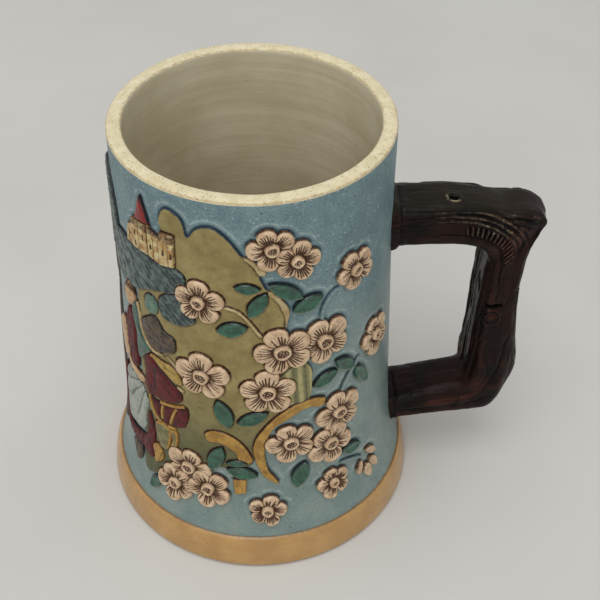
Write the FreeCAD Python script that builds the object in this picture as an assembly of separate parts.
import FreeCAD, Part
import math
import os

# A beer stein of about 0.3 litre in relief-decorated stoneware.
# Millimetres. +Z is up, the origin is on the stein's axis at the underside of the foot,
# and the handle points along +X. "Azimuth" is the angle about Z in degrees, counted from the
# handle: -90 is the side with the large spray of blossom, 180 is opposite the handle.

os.makedirs("parts", exist_ok=True)
V = FreeCAD.Vector

# ---------------------------------------------------------------- driving dimensions
HEIGHT = 120.0               # table to rim
RIM_RADIUS = 34.5            # outside of the rim
BORE_RADIUS = 30.8           # inside of the cup
FLOOR_THICKNESS = 8.0
LIP_ROUNDING = 0.9           # softened edges of the rim

FOOT_RADIUS = 44.4           # widest point of the foot band, near the table
FOOT_TOP_RADIUS = 42.5       # shoulder of the foot band
FOOT_HEIGHT = 10.2
FOOT_BEVEL = 1.2             # chamfer at the table
WALL_FOOT_RADIUS = 41.6      # outside of the wall where the foot band ends

# Outside of the wall as (radius, height) pairs: a straight neck that flares into the foot.
WALL_OUTSIDE = [(WALL_FOOT_RADIUS, FOOT_HEIGHT), (39.5, 17.3), (37.7, 28.0), (36.9, 41.4),
                (36.2, 58.7), (35.1, 82.8), (34.6, 104.0), (RIM_RADIUS, HEIGHT)]

# How far each kind of relief stands out from the wall.
PANEL_RELIEF = 0.45
STEM_RELIEF = 0.8
LEAF_RELIEF = 1.0
SCENE_RELIEF = 1.0
BLOSSOM_RELIEF = 1.3
CENTRE_RELIEF = 1.7

# Handle, a lopped branch bent into a square bow.
HANDLE_WIDTH = 14.5
HANDLE_EDGE_ROUNDING = 3.0
UPPER_ARM_TOP = (95.2, 91.8)        # height at the wall, height at the outer corner
UPPER_ARM_CREST = (50.0, 95.6)      # the arm's highest point: distance from the axis, height
UPPER_ARM_UNDERSIDE = (82.6, 82.4)
LOWER_ARM_TOP = (25.5, 30.9)
LOWER_ARM_UNDERSIDE = (17.2, 19.4)
GRIP_INSIDE = (60.5, 59.3)          # distance from the axis, top and bottom
GRIP_OUTSIDE = (71.2, 73.6)
GRIP_HEEL = 36.5                    # height where the grip's outside turns in towards the lower arm
INNER_CORNER_ROUNDING = 5.0
BURL_REACH = 74.6                   # the burl on the outer upper corner
COLLAR_GROWTH = 2.6                 # how much the root collars stand out round the arms
KNOT_HOLE_AT = 52.0                 # knot hole on the upper arm: distance from the axis
KNOT_HOLE_ASIDE = -1.2              # and off the middle of the arm
KNOT_RADIUS = 1.9
KNOT_DEPTH = 0.6
SIDE_KNOT = (63.6, 57.2, 2.1)       # round knot on the grip: distance from the axis, height, radius
SIDE_KNOT_RELIEF = 0.35
SLOT = (60.6, 61.4, 4.0, 1.5, 1.2)  # saw cut above it: distance from the axis, height, length, width, depth

# Blossoms, as shares of their radius and in degrees.
PETALS = 5
NOTCH_REACH = 0.66           # where two petals part
SHOULDER_ANGLE = 21.0        # how broad a petal's tip is
SHOULDER_REACH = 0.93
PETAL_WANDER = 3.0
PETAL_UNEVENNESS = 0.045
BUTTON_SHARE = 0.27          # the stamens' button

# Pressing a relief on: the outline starts inside the wall and is pushed out through it.
SETBACK = 2.0
PRESS_DEPTH = 20.0


# ---------------------------------------------------------------- the wall's surface
def wall_curve(relief=0.0):
    """The outside of the wall, moved outwards by the height of a relief."""
    curve = Part.BSplineCurve()
    curve.interpolate([V(radius + relief, 0, z) for radius, z in WALL_OUTSIDE])
    return curve


def wall_radius(z):
    """Outside radius of the wall at a height, read off the wall's own curve."""
    curve = wall_curve()
    level = Part.LineSegment(V(0, 0, z), V(2 * FOOT_RADIUS, 0, z))
    crossing = curve.intersect(level)
    return crossing[0].X if crossing else WALL_FOOT_RADIUS


WALL_STEPS = [FOOT_HEIGHT + 0.01 + step * (HEIGHT - FOOT_HEIGHT - 0.02) / 60 for step in range(61)]
WALL_RADII = [wall_radius(z) for z in WALL_STEPS]


def radius_at(z):
    """The same radius from a table of even steps, for the many relief outlines."""
    place = (z - WALL_STEPS[0]) / (WALL_STEPS[1] - WALL_STEPS[0])
    low = max(0, min(len(WALL_STEPS) - 2, int(place)))
    share = max(0.0, min(1.0, place - low))
    return WALL_RADII[low] * (1 - share) + WALL_RADII[low + 1] * share


def revolve(profile_edges):
    face = Part.Face(Part.Wire(profile_edges))
    return face.revolve(V(0, 0, 0), V(0, 0, 1), 360)


def line(start, end):
    return Part.LineSegment(V(*start), V(*end)).toShape()


def relief_shell(relief):
    """A closed skin of the given thickness on the outside of the wall."""
    low, high = FOOT_HEIGHT, HEIGHT
    return revolve([wall_curve().toShape(),
                    line((RIM_RADIUS, 0, high), (RIM_RADIUS + relief, 0, high)),
                    wall_curve(relief).toShape(),
                    line((WALL_FOOT_RADIUS + relief, 0, low), (WALL_FOOT_RADIUS, 0, low))])


SHELLS = {relief: relief_shell(relief)
          for relief in {PANEL_RELIEF, STEM_RELIEF, LEAF_RELIEF, SCENE_RELIEF, BLOSSOM_RELIEF, CENTRE_RELIEF}}


# ---------------------------------------------------------------- tools for the relief
class Facing:
    """The upright plane that touches the wall at one azimuth. A relief is drawn on it and pressed on."""

    def __init__(self, azimuth):
        self.azimuth = azimuth
        angle = math.radians(azimuth)
        self.out = V(math.cos(angle), math.sin(angle), 0)
        self.right = V(-math.sin(angle), math.cos(angle), 0)

    def point(self, across, z):
        return self.out * (BORE_RADIUS - SETBACK) + self.right * across + V(0, 0, z)

    def on_wall(self, azimuth, z):
        """Where a point of the wall, named by azimuth and height, falls on the plane."""
        return self.point(radius_at(z) * math.sin(math.radians(azimuth - self.azimuth)), z)

    def press(self, wire, relief):
        """The piece of clay inside a closed outline, as thick as its relief, lying on the wall."""
        block = Part.Face(wire).extrude(self.out * PRESS_DEPTH)
        return block.common(SHELLS[relief])


def smooth_closed(points):
    curve = Part.BSplineCurve()
    curve.interpolate(points, PeriodicFlag=True)
    return Part.Wire([curve.toShape()])


def straight_closed(points):
    return Part.makePolygon(points + [points[0]])


def middle_azimuth(points):
    azimuths = [azimuth for azimuth, z in points]
    return (min(azimuths) + max(azimuths)) / 2


def patch(points, relief, straight=False):
    """A relief with a free outline, given as (azimuth, height) points."""
    facing = Facing(middle_azimuth(points))
    outline = [facing.on_wall(azimuth, z) for azimuth, z in points]
    wire = straight_closed(outline) if straight else smooth_closed(outline)
    return facing.press(wire, relief)


def ribbon(points, width, relief):
    """A roll of clay of even width along a smooth line of (azimuth, height) points."""
    facing = Facing(middle_azimuth(points))
    spine = Part.BSplineCurve()
    spine.interpolate([facing.on_wall(azimuth, z) for azimuth, z in points])
    first, last = spine.FirstParameter, spine.LastParameter
    steps = 4 * (len(points) - 1)
    left, right = [], []
    for step in range(steps + 1):
        at = first + (last - first) * step / steps
        side = facing.out.cross(spine.tangent(at)[0]).normalize() * (width / 2)
        left.append(spine.value(at) + side)
        right.append(spine.value(at) - side)
    one, other = Part.BSplineCurve(), Part.BSplineCurve()
    one.interpolate(left)
    other.interpolate(right[::-1])
    edges = [one.toShape(), Part.LineSegment(left[-1], right[-1]).toShape(),
             other.toShape(), Part.LineSegment(right[0], left[0]).toShape()]
    return facing.press(Part.Wire(edges), relief)


def blossom(azimuth, z, radius, turn):
    """A five-petalled blossom with a raised button of stamens. turn is the first petal's direction."""
    facing = Facing(azimuth)
    step = 360.0 / PETALS

    def spot(reach, angle):
        angle = math.radians(angle)
        return facing.point(reach * math.cos(angle), z + reach * math.sin(angle))

    def direction(petal):
        """Where a petal points: nearly even steps, as they are when drawn by hand."""
        return turn + petal * step + PETAL_WANDER * math.sin(azimuth + 2.4 * petal)

    edges = []
    for petal in range(PETALS):
        middle = direction(petal)
        start, end = (direction(petal - 1) + middle) / 2, (middle + direction(petal + 1)) / 2
        if petal == 0:
            start = middle - step / 2
        if petal == PETALS - 1:
            end = turn + PETAL_WANDER * math.sin(azimuth) + 360 - step / 2
        reach = radius * (1 + PETAL_UNEVENNESS * math.cos(azimuth + 1.7 * petal))
        points = [spot(radius * NOTCH_REACH, start), spot(reach * SHOULDER_REACH, middle - SHOULDER_ANGLE),
                  spot(reach, middle), spot(reach * SHOULDER_REACH, middle + SHOULDER_ANGLE),
                  spot(radius * NOTCH_REACH, end)]
        curve = Part.BSplineCurve()
        curve.interpolate(points)
        edges.append(curve.toShape())
    flower = facing.press(Part.Wire(edges), BLOSSOM_RELIEF)
    button = Part.Wire([Part.Circle(facing.point(0, z), facing.out, radius * BUTTON_SHARE).toShape()])
    return flower.fuse(facing.press(button, CENTRE_RELIEF)).removeSplitter()


def leaf(azimuth, z, length, width, tilt):
    """A pointed leaf. tilt is the direction of its tip, with 90 upwards."""
    facing = Facing(azimuth)
    turn = math.radians(tilt)

    def spot(along, aside):
        return facing.point(along * math.cos(turn) - aside * math.sin(turn),
                            z + along * math.sin(turn) + aside * math.cos(turn))

    edges = [Part.Arc(spot(-length / 2, 0), spot(0, side * width / 2), spot(length / 2, 0)).toShape()
             for side in (1, -1)]
    return facing.press(Part.Wire(Part.__sortEdges__(edges)), LEAF_RELIEF)


# ---------------------------------------------------------------- the turned body
def vessel_wall():
    low_edge = V(WALL_FOOT_RADIUS, 0, 0)
    lip_out = V(RIM_RADIUS, 0, HEIGHT)
    edges = [line((BORE_RADIUS, 0, 0), tuple(low_edge)),
             line(tuple(low_edge), (WALL_FOOT_RADIUS, 0, FOOT_HEIGHT)),
             wall_curve().toShape(),
             line(tuple(lip_out), (BORE_RADIUS, 0, HEIGHT)),
             line((BORE_RADIUS, 0, HEIGHT), (BORE_RADIUS, 0, 0))]
    body = revolve(edges)
    lip = [edge for edge in body.Edges
           if abs(edge.BoundBox.ZMin - HEIGHT) < 0.01 and abs(edge.BoundBox.ZMax - HEIGHT) < 0.01
           and edge.Curve.TypeId == "Part::GeomCircle"]
    return body.makeFillet(LIP_ROUNDING, lip)


def floor_disc():
    return Part.makeCylinder(BORE_RADIUS, FLOOR_THICKNESS)


def foot_band():
    """The turned ring round the bottom: a bevel at the table, a slightly bulging side, a shoulder."""
    shoulder = 1.3
    side_low = V(FOOT_RADIUS, 0, FOOT_BEVEL)
    side_high = V(FOOT_TOP_RADIUS + 0.5, 0, FOOT_HEIGHT - shoulder)
    side_middle = (side_low + side_high) * 0.5 + V(0.25, 0, 0)
    edges = [line((WALL_FOOT_RADIUS, 0, 0), (FOOT_RADIUS - FOOT_BEVEL, 0, 0)),
             line((FOOT_RADIUS - FOOT_BEVEL, 0, 0), tuple(side_low)),
             Part.Arc(side_low, side_middle, side_high).toShape(),
             line(tuple(side_high), (FOOT_TOP_RADIUS - 0.5, 0, FOOT_HEIGHT)),
             line((FOOT_TOP_RADIUS - 0.5, 0, FOOT_HEIGHT), (WALL_FOOT_RADIUS, 0, FOOT_HEIGHT)),
             line((WALL_FOOT_RADIUS, 0, FOOT_HEIGHT), (WALL_FOOT_RADIUS, 0, 0))]
    return revolve(edges)


# ---------------------------------------------------------------- the handle
def handle_bow():
    """Side view of the branch, from the middle of the wall out round the finger gap and back."""
    root = BORE_RADIUS + 2
    half = HANDLE_WIDTH / 2
    knob = (UPPER_ARM_TOP[1] + UPPER_ARM_UNDERSIDE[1]) / 2
    outside = [(root, UPPER_ARM_TOP[0]), UPPER_ARM_CREST, (GRIP_OUTSIDE[0] - 1, UPPER_ARM_TOP[1]),
               (BURL_REACH, knob + 2.4), (BURL_REACH - 1.6, knob - 2.4),
               (GRIP_OUTSIDE[0], knob - 10.0), (GRIP_OUTSIDE[1], GRIP_HEEL),
               (GRIP_OUTSIDE[1] - 5.0, LOWER_ARM_UNDERSIDE[1] + 1.2),
               (GRIP_OUTSIDE[1] - 9.0, LOWER_ARM_UNDERSIDE[1]), (root, LOWER_ARM_UNDERSIDE[0])]
    gap = [(root, LOWER_ARM_TOP[0]), (GRIP_INSIDE[1], LOWER_ARM_TOP[1]),
           (GRIP_INSIDE[0], UPPER_ARM_UNDERSIDE[1]), (root, UPPER_ARM_UNDERSIDE[0])]
    points = [V(x, -half, z) for x, z in outside + gap]
    bow = Part.Face(Part.makePolygon(points + [points[0]])).extrude(V(0, HANDLE_WIDTH, 0))

    def upright(corners):
        """The edges across the handle that stand at the given corners of the side view."""
        return [edge for edge in bow.Edges
                for x, z in corners
                if abs(edge.Vertexes[0].X - x) < 0.01 and abs(edge.Vertexes[0].Z - z) < 0.01
                and abs(edge.Vertexes[-1].X - x) < 0.01 and abs(edge.Vertexes[-1].Z - z) < 0.01]

    bow = bow.makeFillet(INNER_CORNER_ROUNDING, upright(gap[2:3]))
    bow = bow.makeFillet(INNER_CORNER_ROUNDING / 2, upright(gap[1:2]))
    side_edges = [edge for edge in bow.Edges
                  if edge.BoundBox.YLength < 0.01 and edge.BoundBox.XMin > root - 0.1
                  and edge.BoundBox.XLength + edge.BoundBox.ZLength > 0.5
                  and not (edge.BoundBox.XLength < 0.01 and edge.BoundBox.XMax < root + 0.1)]
    return bow.makeFillet(HANDLE_EDGE_ROUNDING, side_edges)


def root_collar(top, underside):
    """The swollen root where an arm is luted to the wall."""
    middle = (top + underside) / 2
    tall, wide = (top - underside) / 2, HANDLE_WIDTH / 2
    rings = []
    for reach, growth in ((BORE_RADIUS + 2, COLLAR_GROWTH), (RIM_RADIUS + 3.5, COLLAR_GROWTH * 0.6),
                          (RIM_RADIUS + 9, -0.6)):
        ellipse = Part.Ellipse(V(0, 0, 0), wide + growth, tall + growth)
        ring = ellipse.toShape()
        facing_out = FreeCAD.Rotation(V(0, 1, 0), V(0, 0, 1), V(1, 0, 0))
        ring.Placement = FreeCAD.Placement(V(reach, 0, middle), facing_out)
        rings.append(Part.Wire([ring]))
    return Part.makeLoft(rings, True)


def handle():
    branch = handle_bow()
    branch = branch.fuse(root_collar(UPPER_ARM_TOP[0], UPPER_ARM_UNDERSIDE[0]))
    branch = branch.fuse(root_collar(LOWER_ARM_TOP[0], LOWER_ARM_UNDERSIDE[0]))
    pit_floor = V(KNOT_HOLE_AT, KNOT_HOLE_ASIDE, UPPER_ARM_CREST[1] - KNOT_DEPTH)
    pit = Part.makeCylinder(KNOT_RADIUS, PRESS_DEPTH, pit_floor, V(0, 0, 1))
    branch = branch.cut(pit)
    front = -HANDLE_WIDTH / 2
    knot_face = V(SIDE_KNOT[0], front - SIDE_KNOT_RELIEF, SIDE_KNOT[1])
    knot = Part.makeCylinder(SIDE_KNOT[2], HANDLE_EDGE_ROUNDING, knot_face, V(0, 1, 0))
    saw_cut = Part.makeBox(SLOT[2], SLOT[4] + 1, SLOT[3], V(SLOT[0], front - 1, SLOT[1] - SLOT[3] / 2))
    branch = branch.fuse(knot).cut(saw_cut)
    core = revolve([line((0, 0, 0), (WALL_FOOT_RADIUS, 0, 0)),
                    line((WALL_FOOT_RADIUS, 0, 0), (WALL_FOOT_RADIUS, 0, FOOT_HEIGHT)),
                    wall_curve().toShape(),
                    line((RIM_RADIUS, 0, HEIGHT), (0, 0, HEIGHT)),
                    line((0, 0, HEIGHT), (0, 0, 0))])
    return branch.cut(core)


# ---------------------------------------------------------------- the relief, top layer first
# (name, azimuth, height, radius, direction of the first petal)
BLOSSOMS = [
    ("blossom_rim_right", -75.2, 103.0, 5.6, 75), ("blossom_rim_left", -84.6, 107.3, 6.0, 110),
    ("blossom_upper_left", -113.2, 90.2, 6.3, 90), ("blossom_upper_right", -49.2, 94.0, 5.9, 117),
    ("blossom_middle_pair_left", -81.2, 76.0, 7.4, 107),
    ("blossom_middle_pair_right", -63.8, 76.0, 7.2, 115), ("blossom_centre", -87.5, 62.8, 7.3, 88),
    ("blossom_centre_left", -113.5, 66.3, 7.3, 92), ("blossom_centre_right", -35.0, 67.0, 6.2, 110),
    ("blossom_cluster_left", -78.3, 43.7, 7.0, 108), ("blossom_cluster_lower", -60.9, 38.7, 7.2, 60),
    ("blossom_cluster_upper", -57.1, 49.2, 7.0, 103), ("blossom_low_right", -60.1, 23.3, 5.4, 103),
    ("blossom_low_middle", -88.6, 19.2, 5.3, 75), ("blossom_posy_right", -112.7, 25.0, 6.5, 47),
    ("blossom_posy_left", -128.0, 22.3, 6.3, 120), ("blossom_posy_top", -121.5, 30.5, 7.0, 78),
]

# name: leaves as (azimuth, height, length, width, direction of the tip)
LEAVES = {
    "bud": [(-41.5, 19.0, 5.8, 3.2, -80), (-37.3, 20.0, 5.4, 3.0, -60),
            (-46.0, 22.0, 5.0, 2.2, -110), (-38.0, 24.6, 6.0, 2.6, -40)],
    "leaves_upper": [(-90.4, 91.0, 8.6, 4.0, -121), (-94.2, 96.0, 6.3, 3.0, -5),
                     (-79.5, 94.4, 10.0, 4.0, -32), (-70.9, 89.5, 8.5, 4.5, 20),
                     (-100.5, 83.3, 8.0, 4.5, 15)],
    "leaves_centre": [(-105.0, 54.5, 10.0, 4.8, 107), (-93.5, 53.7, 9.2, 4.2, 27)],
    "leaves_right": [(-63.5, 63.2, 8.0, 4.0, 20), (-53.7, 65.0, 8.0, 4.0, -40),
                     (-44.7, 57.7, 10.0, 3.8, -60)],
    "leaves_low_left": [(-109.0, 37.3, 10.5, 4.5, 70), (-98.4, 33.0, 9.0, 4.3, -12),
                        (-100.5, 36.6, 6.0, 2.5, 5), (-138.6, 17.5, 6.5, 3.5, 55)],
    "leaves_low_right": [(-74.6, 30.5, 9.5, 5.0, 72), (-50.0, 32.0, 7.4, 3.8, -10)],
}

STEM_WIDTH = 0.9
CREAM_STEMS = [[(-105, 89.7), (-97.5, 88.5), (-94, 86), (-89, 81)]]
BLUE_STEMS = [[(-65, 83), (-64.5, 86), (-62, 89), (-57, 90.8)],
              [(-56, 55.5), (-52, 60), (-48.5, 62.5), (-45.5, 64)],
              [(-56, 28.5), (-50, 27.3), (-44, 25)]]

LARGE_CRESCENT = [(-64, 57), (-70, 58), (-79.7, 56.4), (-84.6, 54), (-89.9, 49.7), (-93.1, 45.7),
                  (-93.6, 39.3), (-91.5, 34), (-88.3, 30.6), (-83.6, 28.6), (-85.4, 31.4), (-87.6, 34),
                  (-89, 38.3), (-89.2, 42), (-88, 46), (-85, 50), (-78, 53), (-70, 55), (-64, 54.5)]
SMALL_CRESCENT = [(-112.7, 46.7), (-108.5, 47.9), (-103.2, 47.2), (-97.9, 44.3), (-94.9, 40.7),
                  (-94.3, 37.3), (-98.9, 37), (-100.5, 40), (-103.2, 42), (-107.4, 43.5), (-112.2, 43.3)]
CRESCENT_END = [(-102.5, 30.3), (-96.5, 30.6), (-97, 25.2), (-101.5, 24.6)]

ROLLED_EDGES = [[(-95, 105), (-92, 104.2), (-89.5, 102.6), (-87.3, 101.2), (-86.9, 100.2), (-88.6, 99.8),
                 (-91, 101.6), (-93.4, 103.6)],
                [(-85.9, 94.9), (-84.5, 94.8), (-81.4, 92.5), (-79.2, 90.2), (-78.1, 87.9), (-79, 85.3),
                 (-79.8, 83), (-80.1, 86.2), (-81.6, 89.4), (-83.4, 91.8)]]
FOLD = [(-77.5, 57.5), (-77, 70.5), (-72.5, 71), (-69.6, 68.5), (-69.2, 64.5), (-70.6, 58)]

PANEL = [(-129.2, 109.5), (-128, 113), (-125, 114.7), (-121.5, 114.2), (-118, 112.2), (-116.4, 108.6),
         (-114.6, 110.2), (-111, 112.2), (-107.5, 112.7), (-103.5, 111.6), (-99, 108.6), (-94.5, 104.4),
         (-90, 100.4), (-86.3, 95.2), (-80.4, 89), (-79.6, 82), (-76, 76), (-71, 68), (-71, 58.5),
         (-79.7, 55.6), (-86, 52), (-91, 47.5), (-92.4, 41), (-94.6, 36), (-104, 33.8), (-114, 34),
         (-123, 31), (-131, 26), (-138.6, 20.6), (-145.4, 18.4), (-148.6, 25), (-148, 36), (-147.6, 48),
         (-147.4, 60), (-148.4, 72), (-147, 82), (-139, 91), (-130.6, 96), (-126.5, 101)]

ROOF = [(-142.6, 107.0), (-138.0, 114.8), (-134.1, 107.6)]
CASTLE = [(-150, 98), (-148.5, 103.5), (-144.6, 105), (-144.4, 107), (-134.2, 107.6), (-134, 106.4),
          (-128.5, 105.2), (-128.4, 107.6), (-121.8, 107.8), (-122.2, 98.4), (-129, 97.6), (-136, 98.6),
          (-143, 98.4)]
HILL = [(-168, 90), (-163, 96.5), (-155, 98), (-149, 97.8), (-140, 98.4), (-131, 97.6), (-123, 98.2),
        (-118.5, 96.6), (-122, 90.6), (-130, 88.8), (-138, 86.6), (-147, 83.8), (-158, 82.6)]
LOWER_HILL = [(-132.4, 84), (-129, 88.6), (-122.5, 90), (-116.5, 86), (-115, 83.5), (-119, 81.2),
              (-126, 80.2), (-131, 81.2)]
FAR_HILL = [(136, 84), (142, 88), (150, 90), (160, 89.4), (168, 92), (169, 98), (160, 101), (150, 100),
            (142, 97.4), (136, 92)]
BUSH = [(-140.4, 80.6), (-140, 84.4), (-137, 86), (-133.6, 85.4), (-132.6, 82.4), (-135.6, 79.8)]
FAR_BUSHES = [[(136, 17), (137, 25), (142, 29.6), (146.6, 25.6), (147, 18.4), (141.6, 15)],
              [(150, 15.4), (151.4, 21), (157.6, 24.4), (163.8, 21.4), (166, 16.2), (158, 13.6)],
              [(140, 58), (141.4, 66), (147, 70.6), (153.6, 68), (155, 60.6), (148, 55.4)]]

# The couple in country dress, opposite the handle. The man is seen from behind, in a broad hat.
COLLAR = [([(-146.6, 79.6), (-145.2, 75.6), (-144.2, 71.8), (-141.4, 68.9), (-138.1, 67.4), (-134.9, 67.3),
            (-131.2, 67.8)], 1.0),
          ([(-129.6, 68.2), (-127.8, 67.5), (-126.3, 66.6), (-124.3, 65.4), (-122, 63.6)], 0.6),
          ([(-125.1, 59.4), (-123.6, 58.9), (-122.1, 58.2)], 1.0)]
BELT = [([(-135.2, 49.8), (-132.8, 50.2), (-129.6, 50.8), (-125.8, 51.7), (-122, 53)], 1.1),
        ([(-133.5, 49.2), (-134.4, 46.5), (-134.2, 43.7)], 1.0),
        ([(-126, 50.8), (-128.3, 47.4), (-130, 43.6)], 1.1),
        ([(-141.8, 49.8), (-140.6, 45.6), (-137.6, 42.9), (-134.8, 42.2)], 0.9),
        ([(-131.6, 42.4), (-129.4, 42.5), (-127, 43)], 1.2)]
MAN = {
    "man_hat": [(-143.6, 75.6), (-138.2, 78.5), (-134.4, 79.5), (-131.8, 77.6), (-129, 76), (-125.5, 75.4),
                (-124.6, 73.2), (-125, 71.2), (-128.7, 69.4), (-132.9, 68.6), (-137, 68.6), (-141.2, 70.2)],
    "man_sleeve": [(-148.8, 78.6), (-146.8, 79.6), (-145.2, 75), (-144.2, 71), (-141.6, 68.4),
                   (-138.6, 66.6), (-140.2, 65), (-142.6, 63.6), (-146.4, 60.6), (-148.2, 63.6),
                   (-148.6, 70)],
    "man_sash": [(-140, 65), (-137.7, 66), (-134.2, 65.9), (-131.2, 65.9), (-127.6, 65.7), (-124.2, 64.5),
                 (-122.6, 62.4), (-122.9, 60.4), (-126.1, 60.6), (-129.6, 61.6), (-132.6, 62.5),
                 (-135.3, 63.6), (-137.6, 64.4)],
    "man_coat": [(-144, 60.8), (-142.6, 63.2), (-140.1, 64.8), (-136.4, 63.8), (-132.6, 61.8), (-128, 59.8),
                 (-123.9, 57.9), (-122.6, 55.8), (-124, 53.8), (-127.8, 52.2), (-131.4, 51.4),
                 (-137.9, 50.6), (-142.3, 50.4), (-144.6, 52), (-143.6, 56)],
    "man_breeches": [(-140, 49.8), (-131.4, 50.6), (-124, 52.8), (-121.2, 53), (-120.2, 50.8), (-121, 47.9),
                     (-123.7, 44.6), (-127.5, 43.6), (-131, 43), (-134.4, 43.2), (-137.2, 44.8),
                     (-139.2, 47)],
    "man_stockings": [(-138.8, 40.4), (-136.2, 42.3), (-131.9, 42.4), (-130.2, 41.4), (-129.8, 39),
                      (-130.8, 35.2), (-132.8, 32.6), (-135.6, 32.4), (-137.4, 34.4), (-138.6, 37)],
    "man_shoes": [(-140.2, 31.6), (-136.8, 32.2), (-135, 29.8), (-135.9, 26.4), (-139.4, 24.6),
                  (-140.6, 27.4)],
}
RIGHT_LEG = [(-129.6, 42.2), (-127.2, 42.2), (-126.2, 39.5), (-127.2, 35.8), (-129.6, 32.8), (-130.4, 35.2),
             (-129.2, 39)]
WOMAN = {
    "woman_head": [(-156.6, 79.4), (-155.6, 82.4), (-152.4, 84.2), (-149, 82.6), (-147.8, 79.4),
                   (-149.4, 76.6), (-152.2, 76.2), (-155, 77)],
    "woman_arm": [(-158.2, 55.2), (-155.4, 54.6), (-151.3, 54.4), (-148.2, 54.4), (-145, 54.6),
                  (-144.2, 53), (-146.6, 51.6), (-152.5, 51.8), (-157, 52.4)],
    "woman_bodice": [(-156.4, 73.4), (-153, 75), (-150.4, 74), (-149.2, 69), (-149, 64), (-148.4, 59.6),
                     (-149.6, 55.6), (-156, 55.8), (-158.4, 62), (-157.6, 68)],
    "woman_apron": [(-147.4, 51), (-144.3, 49.2), (-142.9, 46.6), (-143.2, 44.2), (-144.8, 41.2),
                    (-145.7, 37.6), (-147, 33.3), (-148.4, 32.3), (-152, 31.5), (-157.4, 30.4),
                    (-162.3, 30), (-165, 34), (-165, 42), (-162, 49.6), (-157.8, 52.2), (-152.6, 51.4)],
    "woman_skirt": [(-161, 27.4), (-155.5, 28.4), (-149.2, 30.2), (-145.8, 31.8), (-144.4, 35.4),
                    (-144.2, 39), (-142.1, 42.9), (-140.5, 40), (-139.3, 36.8), (-140.1, 32.2),
                    (-140.2, 28.6), (-141, 25.6), (-143, 24.4), (-145.6, 25), (-149.8, 25.4),
                    (-155, 24.8), (-163, 24.8), (-169, 28), (-170.4, 36), (-168.4, 45), (-164.4, 50),
                    (-165.6, 42), (-165.6, 33)],
    "woman_shoes": [(-157.6, 24), (-153.6, 24.8), (-150.8, 24.6), (-149.4, 20.8), (-151.4, 18.6),
                    (-154.8, 20.6)],
}
UPPER_ARM = [(-166, 66), (-161.6, 67), (-158.8, 61.6), (-157.8, 56), (-161, 53.6), (-165.4, 58)]
SECOND_PIECES = {"man_stockings": [RIGHT_LEG], "woman_arm": [UPPER_ARM]}
TREE_TRUNK = [(-172.4, 22), (-173.2, 40), (-172, 60), (-173.6, 78), (-171, 90), (-177.6, 91), (-177, 78),
              (-178.6, 60), (-178, 40), (-180.6, 22), (-176.4, 20)]
TREE_CROWN = [(-160, 92), (-161, 101), (-166.4, 108.6), (-174, 112), (-182, 110), (-188.6, 103.6),
              (-189.6, 95), (-184.4, 89), (-176, 86.6), (-167, 88)]

# The far side mirrors the shape of the near panel in a looser spray.
FAR_PANEL = [(128, 106), (122, 111), (114, 113.2), (106, 110.4), (98, 104.6), (91, 98), (85, 91),
             (80.6, 82), (77, 72), (75.6, 60), (82, 53), (90, 47), (94, 39.4), (105, 37), (117, 38),
             (126, 44), (130, 56), (133, 72), (132, 90)]
FAR_BLOSSOMS = [(82, 104, 6.2, 80), (110, 88, 6.6, 95), (66, 90, 6.2, 60), (88, 74, 7.3, 104),
                (112, 64, 7.0, 90), (68, 67, 6.6, 118), (84, 45, 7.2, 76), (64, 41, 6.8, 100),
                (116, 28, 6.8, 52), (92, 22, 5.8, 110), (150, 30, 6.2, 84)]
LEAVES["far_leaves"] = [
    (96, 94, 9, 4.2, 140), (74, 97, 8, 4, 35), (100, 77, 9, 4.4, 200), (77, 82, 8, 4, 40),
    (100, 55, 9.4, 4.4, 118), (78, 56, 8.4, 4, 12), (98, 40, 9, 4.2, 160), (74, 31, 9, 4.6, 110),
    (106, 19.5, 8, 3.8, 170), (55, 52, 8.6, 3.8, 70), (132, 22, 7.6, 3.8, 30), (160, 20, 7, 3.6, 60)]
FAR_CRESCENT = [(110, 47.4), (103, 46.8), (97.4, 43), (95.2, 37.6), (98.6, 36.8), (101.4, 40.4),
                (105.4, 42.8), (111, 43.4)]

placed = []


def boxes_meet(one, other):
    return one.BoundBox.intersect(other.BoundBox)


def has_body(solid, least_volume):
    """Whether a solid is more than a sliver or a skin: it has volume, a front, a back and an edge."""
    return solid.Volume > least_volume and len(solid.Faces) > 2


def keep_whole(shape, least_volume=0.15):
    """Drops the slivers that trimming leaves, and returns one solid or a group of separate ones."""
    solids = [solid for solid in shape.Solids if has_body(solid, least_volume)]
    return solids[0] if len(solids) == 1 else Part.makeCompound(solids)


def add(node, shape, least_volume=0.15):
    """Trims a piece of relief round those laid on before it, and writes it."""
    tools = [other for other in placed if boxes_meet(shape, other)]
    if tools:
        shape = shape.cut(tools)
    shape = keep_whole(shape, least_volume)
    placed.append(shape)
    write(node, shape)


def side_by_side(pieces):
    """A group of separate solids, each trimmed round the ones before it."""
    group = []
    for piece in pieces:
        group.append(piece.cut(group) if group else piece)
    return Part.makeCompound(group)


def write(node, shape):
    if not shape.isValid():
        print("not valid:", node)
    shape.exportStep("parts/" + node + ".step")
    print(f"{node:28s} solids {len(shape.Solids)}  volume {shape.Volume:10.1f}")


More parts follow.
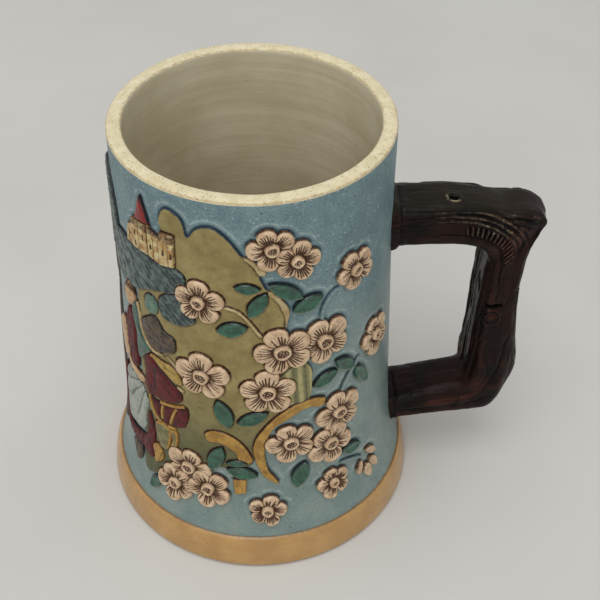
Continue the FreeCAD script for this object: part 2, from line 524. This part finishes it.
def main():
    write("vessel_wall", vessel_wall())
    write("floor_disc", floor_disc())
    write("foot_band", foot_band())
    write("handle", handle())

    for node, *place in BLOSSOMS:
        add(node, blossom(*place))
    add("far_blossoms", Part.makeCompound([blossom(*place) for place in FAR_BLOSSOMS]))
    for node, places in LEAVES.items():
        add(node, side_by_side([leaf(*place) for place in places]))
    add("cream_stem", Part.makeCompound([ribbon(path, STEM_WIDTH, STEM_RELIEF) for path in CREAM_STEMS]))
    add("blue_stems", Part.makeCompound([ribbon(path, STEM_WIDTH, STEM_RELIEF) for path in BLUE_STEMS]))

    add("crescent_large", patch(LARGE_CRESCENT, STEM_RELIEF))
    small = [patch(SMALL_CRESCENT, STEM_RELIEF), patch(CRESCENT_END, STEM_RELIEF, straight=True)]
    add("crescent_small", side_by_side(small))
    add("crescent_far", patch(FAR_CRESCENT, STEM_RELIEF))

    add("man_collar", side_by_side([ribbon(path, width, SCENE_RELIEF) for path, width in COLLAR]))
    add("man_straps", side_by_side([ribbon(path, width, SCENE_RELIEF) for path, width in BELT]))
    for figure in (MAN, WOMAN):
        for node, outline in figure.items():
            shapes = [outline] + SECOND_PIECES.get(node, [])
            add(node, side_by_side([patch(shape, SCENE_RELIEF) for shape in shapes]))
    add("castle_roof", patch(ROOF, SCENE_RELIEF, straight=True))
    add("castle_walls", patch(CASTLE, SCENE_RELIEF, straight=True))
    add("bush", Part.makeCompound([patch(outline, STEM_RELIEF) for outline in [BUSH] + FAR_BUSHES]))
    add("hill_upper", Part.makeCompound([patch(outline, STEM_RELIEF) for outline in (HILL, FAR_HILL)]))
    add("hill_lower", patch(LOWER_HILL, STEM_RELIEF))
    add("tree_crown", patch(TREE_CROWN, SCENE_RELIEF))
    add("tree_trunk", patch(TREE_TRUNK, STEM_RELIEF))

    add("panel_rolled_edge", Part.makeCompound([patch(outline, STEM_RELIEF) for outline in ROLLED_EDGES]))
    add("panel_fold", patch(FOLD, STEM_RELIEF))
    add("panel", patch(PANEL, PANEL_RELIEF), least_volume=1.0)
    add("panel_far", patch(FAR_PANEL, PANEL_RELIEF), least_volume=1.0)


main()
